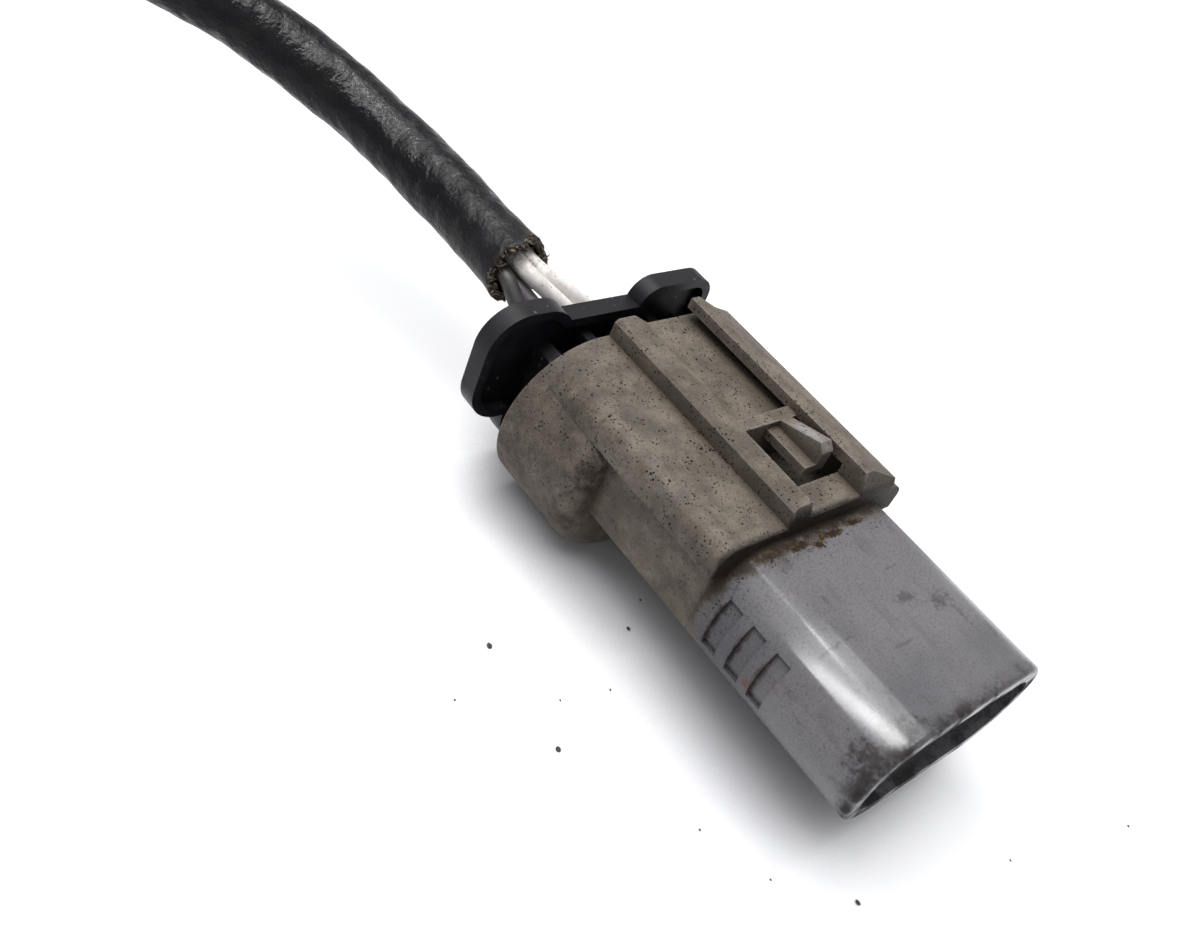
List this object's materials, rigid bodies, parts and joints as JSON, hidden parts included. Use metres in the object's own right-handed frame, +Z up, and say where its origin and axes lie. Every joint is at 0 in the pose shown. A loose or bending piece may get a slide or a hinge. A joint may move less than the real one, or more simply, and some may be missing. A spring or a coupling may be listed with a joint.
{
  "type": "oxygen sensor",
  "caption": "Heated oxygen sensor with a grey sealed connector, a sleeved lead and a threaded probe with perforated shields.",
  "frame": {"origin": "the centre of the connector's mouth", "axes": "X runs to the right across the connector, Y runs back towards the wires, Z is up"},
  "size_m": [0.1616, 0.1758, 0.0334],
  "materials": {
    "grey_moulding": "satin grey moulding with dust and dark specks",
    "tinned_contact": "tinned strip",
    "purple_lock": "plain purple moulding",
    "seal_rubber": "dull red silicone",
    "black_moulding": "near black moulding with dust specks",
    "black_insulation": "dusty black insulation",
    "grey_insulation": "grey insulation",
    "white_insulation": "white insulation with grime",
    "coated_sleeve": "black coated woven glass fibre",
    "plated_steel": "plated steel, dulled",
    "gasket_steel": "plain steel",
    "shield_steel": "heat tinted stainless steel",
    "zirconia": "white zirconia",
    "steatite": "cream steatite",
    "talc": "pressed powder",
    "casing_steel": "stainless steel, dulled",
    "spring_steel": "spring steel",
    "vent_membrane": "porous membrane",
    "grommet_rubber": "dark fluorocarbon rubber"
  },
  "bodies": {
    "root": {"connector_housing": "grey_moulding", "terminal_1": "tinned_contact", "terminal_2": "tinned_contact", "terminal_3": "tinned_contact", "terminal_4": "tinned_contact", "terminal_lock": "purple_lock", "wire_seal": "seal_rubber", "rear_retainer": "black_moulding", "wire_black": "black_insulation", "wire_grey": "grey_insulation", "wire_white_left": "white_insulation", "wire_white_right": "white_insulation", "lead_sleeve": "coated_sleeve", "hex_body": "plated_steel", "seat_gasket": "gasket_steel", "outer_shield": "shield_steel", "inner_shield": "shield_steel", "zirconia_element": "zirconia", "front_ceramic_holder": "steatite", "talc_ring": "talc", "rear_ceramic_holder": "steatite", "upper_casing": "casing_steel", "contact_insulator": "steatite", "contact_spring_1": "spring_steel", "contact_spring_2": "spring_steel", "contact_spring_3": "spring_steel", "contact_spring_4": "spring_steel", "retaining_ring": "spring_steel", "vent_sleeve": "casing_steel", "vent_filter": "vent_membrane", "grommet": "grommet_rubber"}
  },
  "joints": []
}
